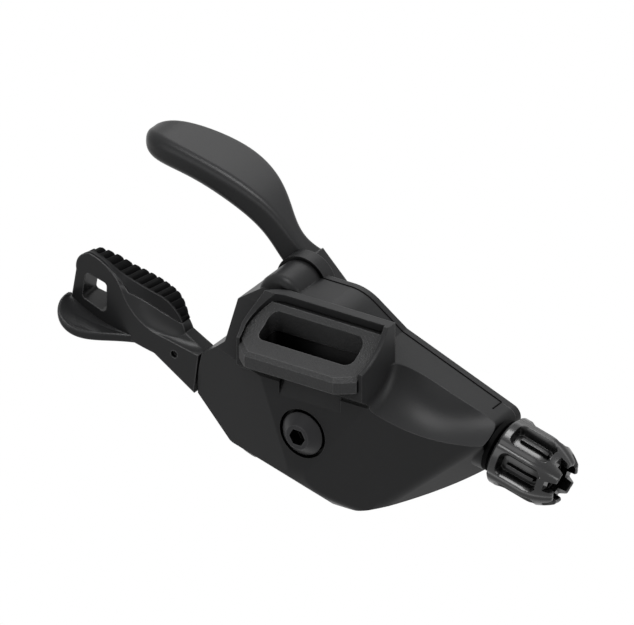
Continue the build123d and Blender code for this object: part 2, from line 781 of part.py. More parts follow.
# Grip on the release lever, with grooves across its falling top
with BuildLine() as crest_line:
    ThreePointArc(*lever_crest[:3])
    ThreePointArc(*lever_crest[2:])
crest_path = crest_line.wires()[0]
fall = math.atan2(crest_fall, lever_pad_back - lever_scoop_back)
with BuildPart() as release_grip:
    add(release_body.part)
    with BuildSketch(front_plane(grip_front)):
        add(grip_zone(grip_gap))
        make_face()
    extrude(amount=-12, mode=Mode.INTERSECT)
    for groove in range(grip_grooves):
        along = grip_start + grip_share * groove / (grip_grooves - 1)
        spot = crest_path.position_at(along)
        heading = crest_path.tangent_at(along)
        drop_here = (groove_front - lever_scoop_back) * math.tan(fall)
        groove_plane = Plane(
            origin=(spot.X, axle_face_y + groove_front, axle_z + spot.Y - drop_here),
            x_dir=(heading.X, 0, heading.Y),
            z_dir=(-heading.Y * math.cos(fall), math.sin(fall), heading.X * math.cos(fall)),
        )
        with BuildSketch(groove_plane.offset(1)):
            with Locations((0, 3)):
                Rectangle(groove_width, 6)
        extrude(amount=-1 - groove_depth, mode=Mode.SUBTRACT)
save(release_grip, "release_grip")


def lever_plane(x, depth, z, heading):
    """Plane across the main lever, facing along its middle line."""
    along = on_circle(1, heading)
    return Plane(origin=(x, axle_face_y + depth, axle_z + z), x_dir=(0, 1, 0), z_dir=(along[0], 0, along[1]))


# Thumb paddle of the main lever. Each station has the X, Z and heading of the middle line, the thickness,
# the front and back depths and the corner radius.
paddle_front = lever_front + 0.25
lever_stations = [
    (-14.6, 21.6, 126, 6.0, paddle_front, hub_back - 0.1, 0.6),
    (-20.9, 27.3, 143, 5.6, paddle_front, 26.9, 1.3),
    (-28.2, 31.2, 156, 5.4, paddle_front, 32.0, 1.6),
    (-34.6, 33.3, 164, 5.1, paddle_front, 33.4, 1.7),
    (-41.4, 34.8, 168, 5.1, paddle_front, 32.8, 1.8),
    (-46.9, 35.6, 172, 5.0, paddle_front + 0.6, 31.2, 2.0),
    (-50.0, 35.9, 176, 2.8, paddle_front + 3.2, 29.0, 1.3),
]
with BuildPart() as paddle:
    for x, z, heading, thick, front, back, corner in lever_stations:
        with BuildSketch(lever_plane(x, (front + back) / 2, z, heading)):
            RectangleRounded(back - front, thick, corner)
    loft()

# Main lever: the paddle, a tapered arm and the hub behind the back cover
arm_x, arm_z, arm_heading = lever_stations[0][:3]
arm_half = lever_stations[0][3] / 2 + 0.1
arm_side_x, arm_side_z = on_circle(1, arm_heading + 90)
with BuildPart() as main_lever:
    with BuildSketch(front_plane(lever_front)):
        Polygon(
            (arm_side_x * (hub_r - 1), arm_side_z * (hub_r - 1)),
            (arm_x + arm_side_x * arm_half, arm_z + arm_side_z * arm_half),
            (arm_x - arm_side_x * arm_half, arm_z - arm_side_z * arm_half),
            (-arm_side_x * (hub_r - 1), -arm_side_z * (hub_r - 1)),
            align=None,
        )
    extrude(amount=-hub_thick)
    add(paddle.part)
    with BuildSketch(front_plane(lever_front)):
        Circle(hub_r)
    extrude(amount=-hub_thick)
    with BuildSketch(front_plane(lever_front)):
        Circle(shaft_r + running)
    extrude(amount=-14, mode=Mode.SUBTRACT)
    with BuildSketch(front_plane(lever_front)):
        Circle(hub_r - 1.0)
        Circle(sleeve_r, mode=Mode.SUBTRACT)
    extrude(amount=-spring_recess, mode=Mode.SUBTRACT)
save(main_lever, "main_lever")


def coil(node_name, radius, front, turns, pitch):
    """Round-wire coil about the axle that starts at a depth."""
    with BuildPart() as spring:
        with BuildLine() as path:
            start = (0, axle_face_y + front, axle_z)
            Helix(pitch, turns * pitch, radius, center=start, direction=(0, 1, 0))
        with BuildSketch(Plane(origin=path.line @ 0, z_dir=path.line % 0)):
            RegularPolygon(wire_r, 6)
        sweep(path=path.line)
    save(spring, node_name)


# Return springs
coil("spool_spring", coil_r, release_back + 0.9, 1.75, 1.0)
coil("release_spring", coil_r + 1.0, wall_front + 0.6, 1.25, 0.9)
coil("main_lever_spring", coil_r + 0.6, lever_front + 0.6, 1.25, 0.9)

# Adjuster bolt that the knob drives in and out of the nose
with BuildPart() as barrel_bolt:
    with BuildSketch(barrel_plane(bolt_start)):
        Circle(bolt_r)
        Circle(cable_hole_r, mode=Mode.SUBTRACT)
    extrude(amount=bolt_length)
    with BuildSketch(barrel_plane(bolt_start + bolt_length - socket_depth)):
        Circle(socket_r)
    extrude(amount=socket_depth, mode=Mode.SUBTRACT)
save(barrel_bolt, "barrel_bolt")

# Ring between the nose and the knob
with BuildPart() as nose_ring:
    with BuildSketch(barrel_plane(nose_end)):
        Circle(ring_r)
        Circle(bolt_r + 0.1, mode=Mode.SUBTRACT)
    extrude(amount=ring_thick)
save(nose_ring, "nose_ring")


def knob_plane(angle, distance):
    """Plane on one side of the knob: x along the knob from its start, z outwards."""
    base = barrel_plane(knob_start)
    outwards = base.x_dir * math.cos(math.radians(angle)) + base.y_dir * math.sin(math.radians(angle))
    return Plane(origin=base.origin + outwards * distance, x_dir=base.z_dir, z_dir=outwards)


# Adjuster knob with six ribbed windows and a notched open end
with BuildPart() as barrel_knob:
    with BuildSketch(knob_plane(0, 0)):
        with BuildLine():
            Polyline((0, bolt_r + running), (0, knob_r - 0.7), (0.5, knob_r - 0.1), (knob_bend, knob_r))
            ThreePointArc((knob_bend, knob_r), (knob_length - 2.6, knob_r - 0.9), (knob_length, knob_end_r))
            Polyline((knob_length, knob_end_r), (knob_length, knob_mouth_r), (mouth_floor, knob_mouth_r))
            Polyline((mouth_floor, knob_mouth_r), (mouth_floor, bolt_r + running), (0, bolt_r + running))
        make_face()
    revolve(axis=Axis(barrel_plane(knob_start).origin, barrel_plane(knob_start).z_dir))
    for lobe in range(knob_lobes):
        lobe_angle = knob_turn + lobe * 360 / knob_lobes
        with BuildSketch(knob_plane(lobe_angle, knob_r + 1)):
            with Locations((6.2, 0)):
                RectangleRounded(8.4, window_width, 1.5)
            with Locations((6.7, 0)):
                Rectangle(6.2, rib_width, mode=Mode.SUBTRACT)
        extrude(amount=-(1 + window_depth), mode=Mode.SUBTRACT)
        with BuildSketch(knob_plane(lobe_angle, knob_r + 1)):
            with Locations((6.7, 0)):
                Rectangle(6.2, rib_width)
        extrude(amount=-1.5, mode=Mode.SUBTRACT)
        with BuildSketch(knob_plane(lobe_angle, knob_r)):
            with Locations((knob_length, 0)):
                RectangleRounded(3.2, 2.2, 0.6)
        extrude(amount=knob_mouth_r - 1 - knob_r, mode=Mode.SUBTRACT)
save(barrel_knob, "barrel_knob")
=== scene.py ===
"""Looks of a thumb-trigger gear shifter: finishes, rounded visual pieces, light and camera."""
import logging
import math
from dataclasses import dataclass
from enum import Enum

import bmesh
import bpy
import numpy as np
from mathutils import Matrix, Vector


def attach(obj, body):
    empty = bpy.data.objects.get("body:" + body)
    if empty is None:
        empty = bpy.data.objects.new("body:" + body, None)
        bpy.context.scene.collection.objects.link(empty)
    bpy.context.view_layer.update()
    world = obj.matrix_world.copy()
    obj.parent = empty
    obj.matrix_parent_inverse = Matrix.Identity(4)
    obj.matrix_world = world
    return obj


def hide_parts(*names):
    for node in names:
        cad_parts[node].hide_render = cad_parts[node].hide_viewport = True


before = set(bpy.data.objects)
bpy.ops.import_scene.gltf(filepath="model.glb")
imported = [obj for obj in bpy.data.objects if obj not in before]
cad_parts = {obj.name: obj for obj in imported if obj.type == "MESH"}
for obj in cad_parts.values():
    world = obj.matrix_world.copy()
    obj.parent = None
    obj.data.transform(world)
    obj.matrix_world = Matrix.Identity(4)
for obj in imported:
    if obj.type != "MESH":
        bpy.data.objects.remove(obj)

log = logging.getLogger("shifter")

Colour = tuple[float, float, float]
Place = tuple[float, float, float]
Points = tuple[tuple[float, float], ...]

MM = 0.001
# Face of the axle bolt, in millimetres; points of the shell and the release lever count from it
AXLE = np.array([0.0, -2.8, -17.6])
# Colour sockets of a mix node
MIX_MASK, MIX_FIRST, MIX_SECOND, MIX_RESULT = 0, 6, 7, 2
COAT_ROUGHNESS = 0.06
BUMP_DISTANCE = 0.0002
# Shares of pebbles and speckle in the height of the grain
PEBBLE_SHARE, SPECKLE_SHARE = 0.6, 0.5
# Share of its colour that a surface keeps deep in a pocket, as painted shade
PAINTED_POCKET_SHADE = 0.05
# Distances in metres below which points of a mesh merge and edges vanish
MERGE, VANISH = 1e-8, 1e-9


def link(tree: bpy.types.NodeTree, start: bpy.types.NodeSocket, end: bpy.types.NodeSocket) -> None:
    """Join two sockets of a node tree."""
    tree.links.new(start, end)


def compute(
    tree: bpy.types.NodeTree, operation: str, *values: bpy.types.NodeSocket | float, clamp: bool = False
) -> bpy.types.NodeSocket:
    """Add a maths node.

    Args:
        tree: Node tree that takes the node.
        operation: Name of the operation.
        values: What goes into each input, a socket or a number.
        clamp: Whether the result is kept between 0 and 1.

    Returns:
        Socket of the result.
    """
    node = tree.nodes.new("ShaderNodeMath")
    node.operation = operation
    node.use_clamp = clamp
    for socket, value in zip(node.inputs, values):
        if isinstance(value, bpy.types.NodeSocket):
            link(tree, value, socket)
        else:
            socket.default_value = value
    return node.outputs["Value"]


def mix_colours(
    tree: bpy.types.NodeTree, mask: bpy.types.NodeSocket,
    first: bpy.types.NodeSocket | Colour, second: Colour,
) -> bpy.types.NodeSocket:
    """Mix two colours by a mask.

    Args:
        tree: Node tree that takes the node.
        mask: Socket that is 0 for the first colour and 1 for the second.
        first: Socket of the first colour, or the colour.
        second: The second colour.

    Returns:
        Socket of the mixed colour.
    """
    node = tree.nodes.new("ShaderNodeMix")
    node.data_type = "RGBA"
    node.inputs[MIX_SECOND].default_value = (*second, 1.0)
    if isinstance(first, bpy.types.NodeSocket):
        link(tree, first, node.inputs[MIX_FIRST])
    else:
        node.inputs[MIX_FIRST].default_value = (*first, 1.0)
    link(tree, mask, node.inputs[MIX_MASK])
    return node.outputs[MIX_RESULT]


class EffectGroups:
    """Shader node groups that several finishes share."""

    def __init__(self) -> None:
        """Build every group once."""
        self.grain: bpy.types.NodeTree = self._grain()
        self.edges: bpy.types.NodeTree = self._edge_highlights()
        self.painted_shade: bpy.types.NodeTree = self._painted_shade()

    @staticmethod
    def _new(name: str, inputs: dict[str, float], outputs: tuple[str, ...]) -> bpy.types.NodeTree:
        """Make an empty group with named value sockets.

        Args:
            name: Name of the group.
            inputs: Default value of each input by name.
            outputs: Names of the outputs.

        Returns:
            The new node group.
        """
        group = bpy.data.node_groups.new(name, "ShaderNodeTree")
        for label, value in inputs.items():
            socket = group.interface.new_socket(label, in_out="INPUT", socket_type="NodeSocketFloat")
            socket.default_value = value
        for label in outputs:
            group.interface.new_socket(label, in_out="OUTPUT", socket_type="NodeSocketFloat")
        return group

    def _grain(self) -> bpy.types.NodeTree:
        """Moulded grain: fine pebbles for the bump and a slow mottle for colour and gloss.

        Returns:
            A group with Height and Mottle outputs, each between 0 and 1.
        """
        scales = {"Pebble Scale": 3000.0, "Mottle Scale": 60.0}
        group = self._new("moulded_grain", scales, ("Height", "Mottle"))
        nodes = group.nodes
        entry, leave = nodes.new("NodeGroupInput"), nodes.new("NodeGroupOutput")
        place = nodes.new("ShaderNodeTexCoord")
        pebbles = nodes.new("ShaderNodeTexVoronoi")
        pebbles.feature = "SMOOTH_F1"
        speckle = nodes.new("ShaderNodeTexNoise")
        speckle.inputs["Detail"].default_value = 2.0
        mottle = nodes.new("ShaderNodeTexNoise")
        mottle.inputs["Detail"].default_value = 4.0
        for texture in (pebbles, speckle, mottle):
            link(group, place.outputs["Object"], texture.inputs["Vector"])
        for texture in (pebbles, speckle):
            link(group, entry.outputs["Pebble Scale"], texture.inputs["Scale"])
        link(group, entry.outputs["Mottle Scale"], mottle.inputs["Scale"])
        fine = compute(group, "MULTIPLY", speckle.outputs["Fac"], SPECKLE_SHARE)
        height = compute(group, "MULTIPLY_ADD", pebbles.outputs["Distance"], PEBBLE_SHARE, fine)
        link(group, height, leave.inputs["Height"])
        link(group, mottle.outputs["Fac"], leave.inputs["Mottle"])
        return group

    def _edge_highlights(self) -> bpy.types.NodeTree:
        """Painted edge highlight mask: how far a rounded normal turns away from the surface's own normal.

        Returns:
            A group with one Mask output, 0 on flats and 1 on sharp edges.
        """
        group = self._new("painted_edge_highlight", {"Radius": 0.0004, "Gain": 4.0}, ("Mask",))
        nodes = group.nodes
        entry, leave = nodes.new("NodeGroupInput"), nodes.new("NodeGroupOutput")
        rounded = nodes.new("ShaderNodeBevel")
        surface = nodes.new("ShaderNodeNewGeometry")
        dot = nodes.new("ShaderNodeVectorMath")
        dot.operation = "DOT_PRODUCT"
        link(group, entry.outputs["Radius"], rounded.inputs["Radius"])
        link(group, rounded.outputs["Normal"], dot.inputs[0])
        link(group, surface.outputs["True Normal"], dot.inputs[1])
        turn = compute(group, "SUBTRACT", 1.0, dot.outputs["Value"])
        mask = compute(group, "MULTIPLY", turn, entry.outputs["Gain"], clamp=True)
        link(group, mask, leave.inputs["Mask"])
        return group

    def _painted_shade(self) -> bpy.types.NodeTree:
        """Painted shade mask: how much of the sky over a place the walls near it hide.

        Returns:
            A group with one Mask output, 0 in the open and 1 deep in a pocket.
        """
        group = self._new("painted_shade", {"Reach": 0.008, "Gain": 2.0}, ("Mask",))
        nodes = group.nodes
        entry, leave = nodes.new("NodeGroupInput"), nodes.new("NodeGroupOutput")
        sky = nodes.new("ShaderNodeAmbientOcclusion")
        sky.samples = 8
        link(group, entry.outputs["Reach"], sky.inputs["Distance"])
        hidden = compute(group, "SUBTRACT", 1.0, sky.outputs["AO"])
        mask = compute(group, "MULTIPLY", hidden, entry.outputs["Gain"], clamp=True)
        link(group, mask, leave.inputs["Mask"])
        return group


@dataclass(frozen=True)
class Finish:
    """One surface finish.

    Attributes:
        name: Name of the material.
        colour: Base colour, linear.
        edge_highlight_colour: Lighter colour painted along edges as a highlight.
        roughness: Mean roughness.
        metallic: Metallic value, the same all over.
        coat: Weight of a clear coat.
        specular: Specular level, the same all over.
        pebble_scale: Scale of the fine grain.
        grain_depth: Strength of the grain's bump.
        mottle: How far the slow mottle shifts colour and roughness.
        edge_radius: Radius of the soft edge, in metres.
        painted_shade: How strongly painted shade darkens pockets.
        pattern: Name of the mesh attribute that masks a second colour, or nothing.
        pattern_colour: The second colour, linear.
    """

    name: str
    colour: Colour
    edge_highlight_colour: Colour
    roughness: float
    metallic: float = 0.0
    coat: float = 0.0
    specular: float = 0.25
    pebble_scale: float = 3000.0
    grain_depth: float = 0.1
    mottle: float = 0.1
    edge_radius: float = 0.0003
    painted_shade: float = 2.0
    pattern: str = ""
    pattern_colour: Colour = (0.0, 0.0, 0.0)

    def build(self, groups: EffectGroups) -> bpy.types.Material:
        """Make the material from its node groups.

        Args:
            groups: The shared effect groups.

        Returns:
            The finished material.
        """
        material = bpy.data.materials.new(self.name)
        material.use_nodes = True
        tree = material.node_tree
        shader = tree.nodes["Principled BSDF"]
        shader.inputs["Metallic"].default_value = self.metallic
        shader.inputs["Coat Weight"].default_value = self.coat
        shader.inputs["Coat Roughness"].default_value = COAT_ROUGHNESS
        shader.inputs["Specular IOR Level"].default_value = self.specular
        grain = self._effect(tree, groups.grain, "Pebble Scale", self.pebble_scale)
        link(tree, self._colour(tree, groups, grain), shader.inputs["Base Color"])
        gloss = tree.nodes.new("ShaderNodeMapRange")
        gloss.inputs["To Min"].default_value = self.roughness * (1.0 - self.mottle)
        gloss.inputs["To Max"].default_value = self.roughness * (1.0 + self.mottle)
        link(tree, grain.outputs["Mottle"], gloss.inputs["Value"])
        link(tree, gloss.outputs["Result"], shader.inputs["Roughness"])
        soft = tree.nodes.new("ShaderNodeBevel")
        soft.inputs["Radius"].default_value = self.edge_radius
        bump = tree.nodes.new("ShaderNodeBump")
        bump.inputs["Strength"].default_value = self.grain_depth
        bump.inputs["Distance"].default_value = BUMP_DISTANCE
        link(tree, grain.outputs["Height"], bump.inputs["Height"])
        link(tree, soft.outputs["Normal"], bump.inputs["Normal"])
        link(tree, bump.outputs["Normal"], shader.inputs["Normal"])
        return material

    @staticmethod
    def _effect(
        tree: bpy.types.NodeTree, group: bpy.types.NodeTree, socket: str, value: float
    ) -> bpy.types.Node:
        """Place a shared group in a material.

        Args:
            tree: Node tree of the material.
            group: The shared group.
            socket: Name of the input that the finish sets.
            value: Value of that input.

        Returns:
            The group's node.
        """
        node = tree.nodes.new("ShaderNodeGroup")
        node.node_tree = group
        node.inputs[socket].default_value = value
        return node

    def _shade(self, share: float) -> Colour:
        """Base colour made darker or lighter by a factor."""
        red, green, blue = self.colour
        return red * share, green * share, blue * share

    def _colour(
        self, tree: bpy.types.NodeTree, groups: EffectGroups, grain: bpy.types.Node
    ) -> bpy.types.NodeSocket:
        """Layer the colours: mottle, a painted highlight on edges, painted shade in pockets, then the
        pattern of the mesh.

        Args:
            tree: Node tree of the material.
            groups: The shared effect groups.
            grain: Node of the grain group.

        Returns:
            Socket of the colour to use.
        """
        edges = self._effect(tree, groups.edges, "Radius", self.edge_radius)
        painted_shade = self._effect(tree, groups.painted_shade, "Gain", self.painted_shade)
        dark, light = self._shade(1.0 - self.mottle), self._shade(1.0 + self.mottle)
        colour = mix_colours(tree, grain.outputs["Mottle"], dark, light)
        # Edges take the lighter colour: a painted highlight.
        colour = mix_colours(tree, edges.outputs["Mask"], colour, self.edge_highlight_colour)
        # Pockets darken towards a small share of the colour: painted shade.
        colour = mix_colours(tree, painted_shade.outputs["Mask"], colour, self._shade(PAINTED_POCKET_SHADE))
        if self.pattern:
            mask = tree.nodes.new("ShaderNodeAttribute")
            mask.attribute_name = self.pattern
            colour = mix_colours(tree, mask.outputs["Fac"], colour, self.pattern_colour)
        return colour


class Finishes(Enum):
    """Named finishes of the shifter."""

    # The second colour of each finish is painted on its edges as a highlight.
    SHELL = Finish(
        "shell_satin", (0.019, 0.0192, 0.0198), (0.075, 0.0755, 0.077), 0.36,
        specular=0.1, pebble_scale=2600.0, grain_depth=0.06, mottle=0.08,
    )
    BRACKET = Finish(
        "bracket_blasted", (0.028, 0.0282, 0.0288), (0.14, 0.14, 0.142), 0.42,
        specular=0.18, pebble_scale=4200.0, grain_depth=0.7, mottle=0.12,
    )
    LEVER = Finish(
        "lever_satin", (0.019, 0.0192, 0.0198), (0.15, 0.1505, 0.152), 0.3,
        specular=0.13, pebble_scale=3200.0, grain_depth=0.04, mottle=0.06, edge_radius=0.0004, painted_shade=0.6,
    )
    GRIP = Finish(
        "grip_rubber", (0.019, 0.0192, 0.0198), (0.09, 0.0905, 0.092), 0.45,
        specular=0.02, pebble_scale=3600.0, grain_depth=0.15, mottle=0.1,
        pattern="rib", pattern_colour=(0.0012, 0.0012, 0.0013),
    )
    KNOB = Finish(
        "knob_gloss", (0.014, 0.014, 0.0145), (0.05, 0.05, 0.052), 0.27,
        coat=0.12, specular=0.35, pebble_scale=1500.0, grain_depth=0.02, mottle=0.1, edge_radius=0.00012,
    )
    RING = Finish("ring_matt", (0.005, 0.005, 0.005), (0.008, 0.008, 0.008), 0.7, specular=0.03)
    DARK_STEEL = Finish(
        "steel_black", (0.012, 0.012, 0.0135), (0.06, 0.06, 0.064), 0.34,
        metallic=0.4, specular=0.4, grain_depth=0.05, mottle=0.12,
    )
    STEEL = Finish(
        "steel_plain", (0.45, 0.45, 0.46), (0.6, 0.6, 0.6), 0.35, metallic=1.0, pebble_scale=2500.0
    )
    SPRING = Finish("steel_wire", (0.5, 0.5, 0.51), (0.6, 0.6, 0.6), 0.3, metallic=1.0, pebble_scale=2500.0)
    RESIN = Finish(
        "resin_grey", (0.18, 0.18, 0.19), (0.24, 0.24, 0.25), 0.5, specular=0.4, pebble_scale=2500.0
    )


class Wardrobe:
    """Builds each finish once and dresses objects in it."""

    def __init__(self) -> None:
        """Build the effect groups and every finish."""
        groups = EffectGroups()
        self.materials: dict[Finishes, bpy.types.Material] = {f: f.value.build(groups) for f in Finishes}

    def dress(self, piece: bpy.types.Object, finish: Finishes) -> None:
        """Give one object a finish.

        Args:
            piece: The object to dress.
            finish: The finish it takes.
        """
        piece.data.materials.clear()
        piece.data.materials.append(self.materials[finish])
        log.info("%s takes %s", piece.name, finish.value.name)


def smooth_step(value: np.ndarray, low: float | np.ndarray, high: float | np.ndarray) -> np.ndarray:
    """Soft step from 0 at low to 1 at high: 3t^2 - 2t^3 of the clamped fraction t."""
    t = np.clip((value - low) / (high - low), 0.0, 1.0)
    return t * t * (3.0 - 2.0 * t)


def rounded_box(x: np.ndarray, y: np.ndarray, half: tuple[float, float], corner: float) -> np.ndarray:
    """Signed distance to a rounded rectangle: negative inside, positive outside.

    Args:
        x: First coordinate from the rectangle's middle.
        y: Second coordinate from the rectangle's middle.
        half: Half the length and half the width.
        corner: Corner radius.

    Returns:
        The distance of every point to the outline.
    """
    dx = np.abs(x) - half[0] + corner
    dy = np.abs(y) - half[1] + corner
    outside = np.hypot(np.maximum(dx, 0.0), np.maximum(dy, 0.0))
    return outside + np.minimum(np.maximum(dx, dy), 0.0) - corner


def three_point_arc(points: np.ndarray, share: np.ndarray) -> np.ndarray:
    """Points of the circle through three points, at even angles from the first to the last.

    Args:
        points: Three points, one a row.
        share: Fraction of the arc of each wanted point.

    Returns:
        The points, one a row.
    """
    chords = points[1:] - points[0]
    centre = points[0] + np.linalg.solve(2.0 * chords, np.sum(chords**2, axis=1))
    spokes = points - centre
    angles = np.unwrap(np.arctan2(spokes[:, 1], spokes[:, 0]))
    turn = angles[0] + (angles[2] - angles[0]) * share
    radius = np.hypot(*spokes[0])
    return centre + radius * np.stack([np.cos(turn), np.sin(turn)], axis=1)


def with_poles(sections: np.ndarray) -> np.ndarray:
    """Close a row of sections by a pole in the middle of the first and of the last one.

    Args:
        sections: Grid of places, indexed by section, point and axis.

    Returns:
        The grid with one more column at each end.
    """
    poles = np.broadcast_to(sections[[0, -1]].mean(axis=1, keepdims=True), (2, *sections.shape[1:]))
    return np.concatenate([poles[:1], sections, poles[1:]])


def grid_object(
    name: str, points: np.ndarray, sharp: float = 38.0, rib: np.ndarray | None = None
) -> bpy.types.Object:
    """Make an object whose faces are the cells of a grid.

    Rows close on themselves. Points that fall together, as at a pole, are merged.

    Args:
        name: Name of the object and its mesh.
        points: Grid of places in millimetres, indexed by column, row and axis.
        sharp: Angle in degrees above which an edge stays sharp.
        rib: Mask of the ribbed places, stored as a point attribute.

    Returns:
        The object, in metres, with its faces turned outwards.
    """
    columns, rows = points.shape[:2]
    index = np.arange(columns * rows).reshape(columns, rows)
    ahead = np.roll(index, -1, axis=1)
    cells = np.stack([index[:-1], index[1:], ahead[1:], ahead[:-1]], axis=-1).reshape(-1, 4)
    places = points.reshape(-1, 3) * MM
    a, b, c, d = (places[cells[:, k]] for k in range(4))
    volume = np.sum(a * np.cross(b, c)) + np.sum(a * np.cross(c, d))
    cells = cells if volume > 0 else cells[:, ::-1]
    mesh = bpy.data.meshes.new(name)
    mesh.vertices.add(len(places))
    mesh.vertices.foreach_set("co", places.ravel())
    mesh.loops.add(cells.size)
    mesh.loops.foreach_set("vertex_index", cells.ravel().astype(np.int32))
    mesh.polygons.add(len(cells))
    mesh.polygons.foreach_set("loop_start", np.arange(0, cells.size, 4, dtype=np.int32))
    mesh.update(calc_edges=True)
    if rib is not None:
        layer = mesh.attributes.new("rib", "FLOAT", "POINT")
        layer.data.foreach_set("value", rib.ravel().astype(np.float32))
    form = bmesh.new()
    form.from_mesh(mesh)
    bmesh.ops.remove_doubles(form, verts=form.verts, dist=MERGE)
    bmesh.ops.dissolve_degenerate(form, dist=VANISH, edges=form.edges)
    form.to_mesh(mesh)
    form.free()
    mesh.polygons.foreach_set("use_smooth", np.ones(len(mesh.polygons), dtype=bool))
    mesh.set_sharp_from_angle(angle=math.radians(sharp))
    piece = bpy.data.objects.new(name, mesh)
    bpy.context.scene.collection.objects.link(piece)
    return piece


@dataclass
class SubAssembly:
    """Pieces that belong together.

    Attributes:
        finishes: Finish of each CAD node that keeps its shape.
    """

    finishes: dict[str, Finishes]

    def build(self, wardrobe: Wardrobe) -> None:
        """Dress every node of the set."""
        for node, finish in self.finishes.items():
            wardrobe.dress(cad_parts[node], finish)


@dataclass
class Shell(SubAssembly):
    """Front housing, back cover and clamp bracket, with the lug's web and the seal in the shells' joint.

    Attributes:
        joint: Points of the seal in X, depth and Z from the axle, over the top, down the slope and forward.
        slope: Direction that the sloping top face looks in, as X and Z.
        seal_radius: Radius of the seal.
        least_level: Share of a run in X and Z below which it counts as going forward.
        lug_x: Middle of the lower screw lug, in X.
        lug_half: Half the width of the web round the lug.
        lug_drop: How far the web reaches below the housing.
        lug_run: Two points of the housing's underside beside the lug, in X and Z.
        lug_depths: Depths at which the web starts, is full and ends.
        lug_sink: How far the web's lower edge starts inside the underside.
        lug_inside: How far its upper edge lies inside.
    """

    joint: tuple[Place, ...] = (
        (-6.6, 17.5, 22.2), (-0.6, 17.5, 22.2), (0.129, 17.5, 22.136), (0.851, 17.5, 22.016),
        (1.561, 17.5, 21.839), (2.255, 17.5, 21.608), (2.929, 17.5, 21.323), (3.579, 17.5, 20.986),
        (4.2, 17.5, 20.6), (10.4, 17.5, 16.2), (31.7, 17.5, 7.934), (31.7, 14.6, 7.934),
    )
    slope: tuple[float, float] = (0.362, 0.932)
    seal_radius: float = 0.14
    least_level: float = 0.3
    lug_x: float = -18.0
    lug_half: float = 3.7
    lug_drop: float = 6.5
    lug_run: Points = ((-23.0, -6.0), (-12.5, -9.7))
    lug_depths: tuple[float, float, float] = (6.3, 9.9, 18.95)
    lug_sink: float = 0.25
    lug_inside: float = 1.2

    def lug(self) -> bpy.types.Object:
        """Web that joins the lower screw lug to the housing: a closed section carried along the depth.

        The section's lower edge falls from the underside by a bell, e to the power of minus x to the
        fourth, and its upper edge lies inside the housing. The bell grows by a soft step from nothing at
        the start to its full drop. Each end closes on the line midway between the two edges.

        Returns:
            The web.
        """
        start, full, stop = self.lug_depths
        depth = np.concatenate([np.linspace(start, full, 25), np.linspace(full, stop, 12)[1:]])[:, None]
        (x_first, z_first), (x_last, z_last) = self.lug_run
        x = np.linspace(x_first, x_last, 81)[None, :]
        under = z_first + (z_last - z_first) * (x - x_first) / (x_last - x_first)
        bell = np.exp(-(((x - self.lug_x) / self.lug_half) ** 4))
        low = under + self.lug_sink - self.lug_drop * smooth_step(depth, start, full) * bell
        high = np.broadcast_to(under + self.lug_inside, low.shape)
        middle = (low + high) / 2
        across = np.concatenate([x, x[:, ::-1]], axis=1)
        height = np.concatenate([low, high[:, ::-1]], axis=1)
        closed = np.concatenate([middle, middle[:, ::-1]], axis=1)
        height = np.concatenate([closed[:1], height, closed[-1:]])
        depth = np.concatenate([depth[:1], depth, depth[-1:]])
        sections = np.stack(np.broadcast_arrays(across, depth, height), axis=-1)
        return grid_object("lug_web", AXLE + sections, sharp=40.0)

    def seal(self) -> bpy.types.Object:
        """Seal: a round section carried along the joint's straight runs.

        The section lies at right angles to the run. One of its axes is the run turned a quarter upwards in
        X and Z, or the slope's own direction where the run goes forward; the other is square to both.

        Returns:
            The seal, half sunk in the shells.
        """
        knots = np.array(self.joint)
        run = np.concatenate([[0.0], np.cumsum(np.linalg.norm(np.diff(knots, axis=0), axis=1))])
        along = np.linspace(0.0, run[-1], 420)
        path = np.stack([np.interp(along, run, knots[:, k]) for k in range(3)], axis=1)
        ahead = np.gradient(path, axis=0)
        ahead = ahead / np.linalg.norm(ahead, axis=1, keepdims=True)
        rise = np.stack([-ahead[:, 2], 0.0 * along, ahead[:, 0]], axis=1)
        level = np.hypot(rise[:, 0], rise[:, 2])[:, None]
        forward = np.array([self.slope[0], 0.0, self.slope[1]])
        least = self.least_level
        rise = np.where(level > least, rise / np.maximum(level, least), forward)
        across = np.cross(ahead, rise)
        angle = np.linspace(0.0, 2.0 * np.pi, 13)[None, :-1, None]
        spoke = np.cos(angle) * rise[:, None] + np.sin(angle) * across[:, None]
        tube = path[:, None] + self.seal_radius * spoke
        return grid_object("cover_seal", AXLE + with_poles(tube), sharp=60.0)

    def build(self, wardrobe: Wardrobe) -> None:
        """Dress the shells and build the web of the lug and the seal."""
        super().build(wardrobe)
        web = self.lug()
        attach(web, "body")
        wardrobe.dress(web, Finishes.SHELL)
        seal = self.seal()
        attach(seal, "body")
        wardrobe.dress(seal, Finishes.RING)


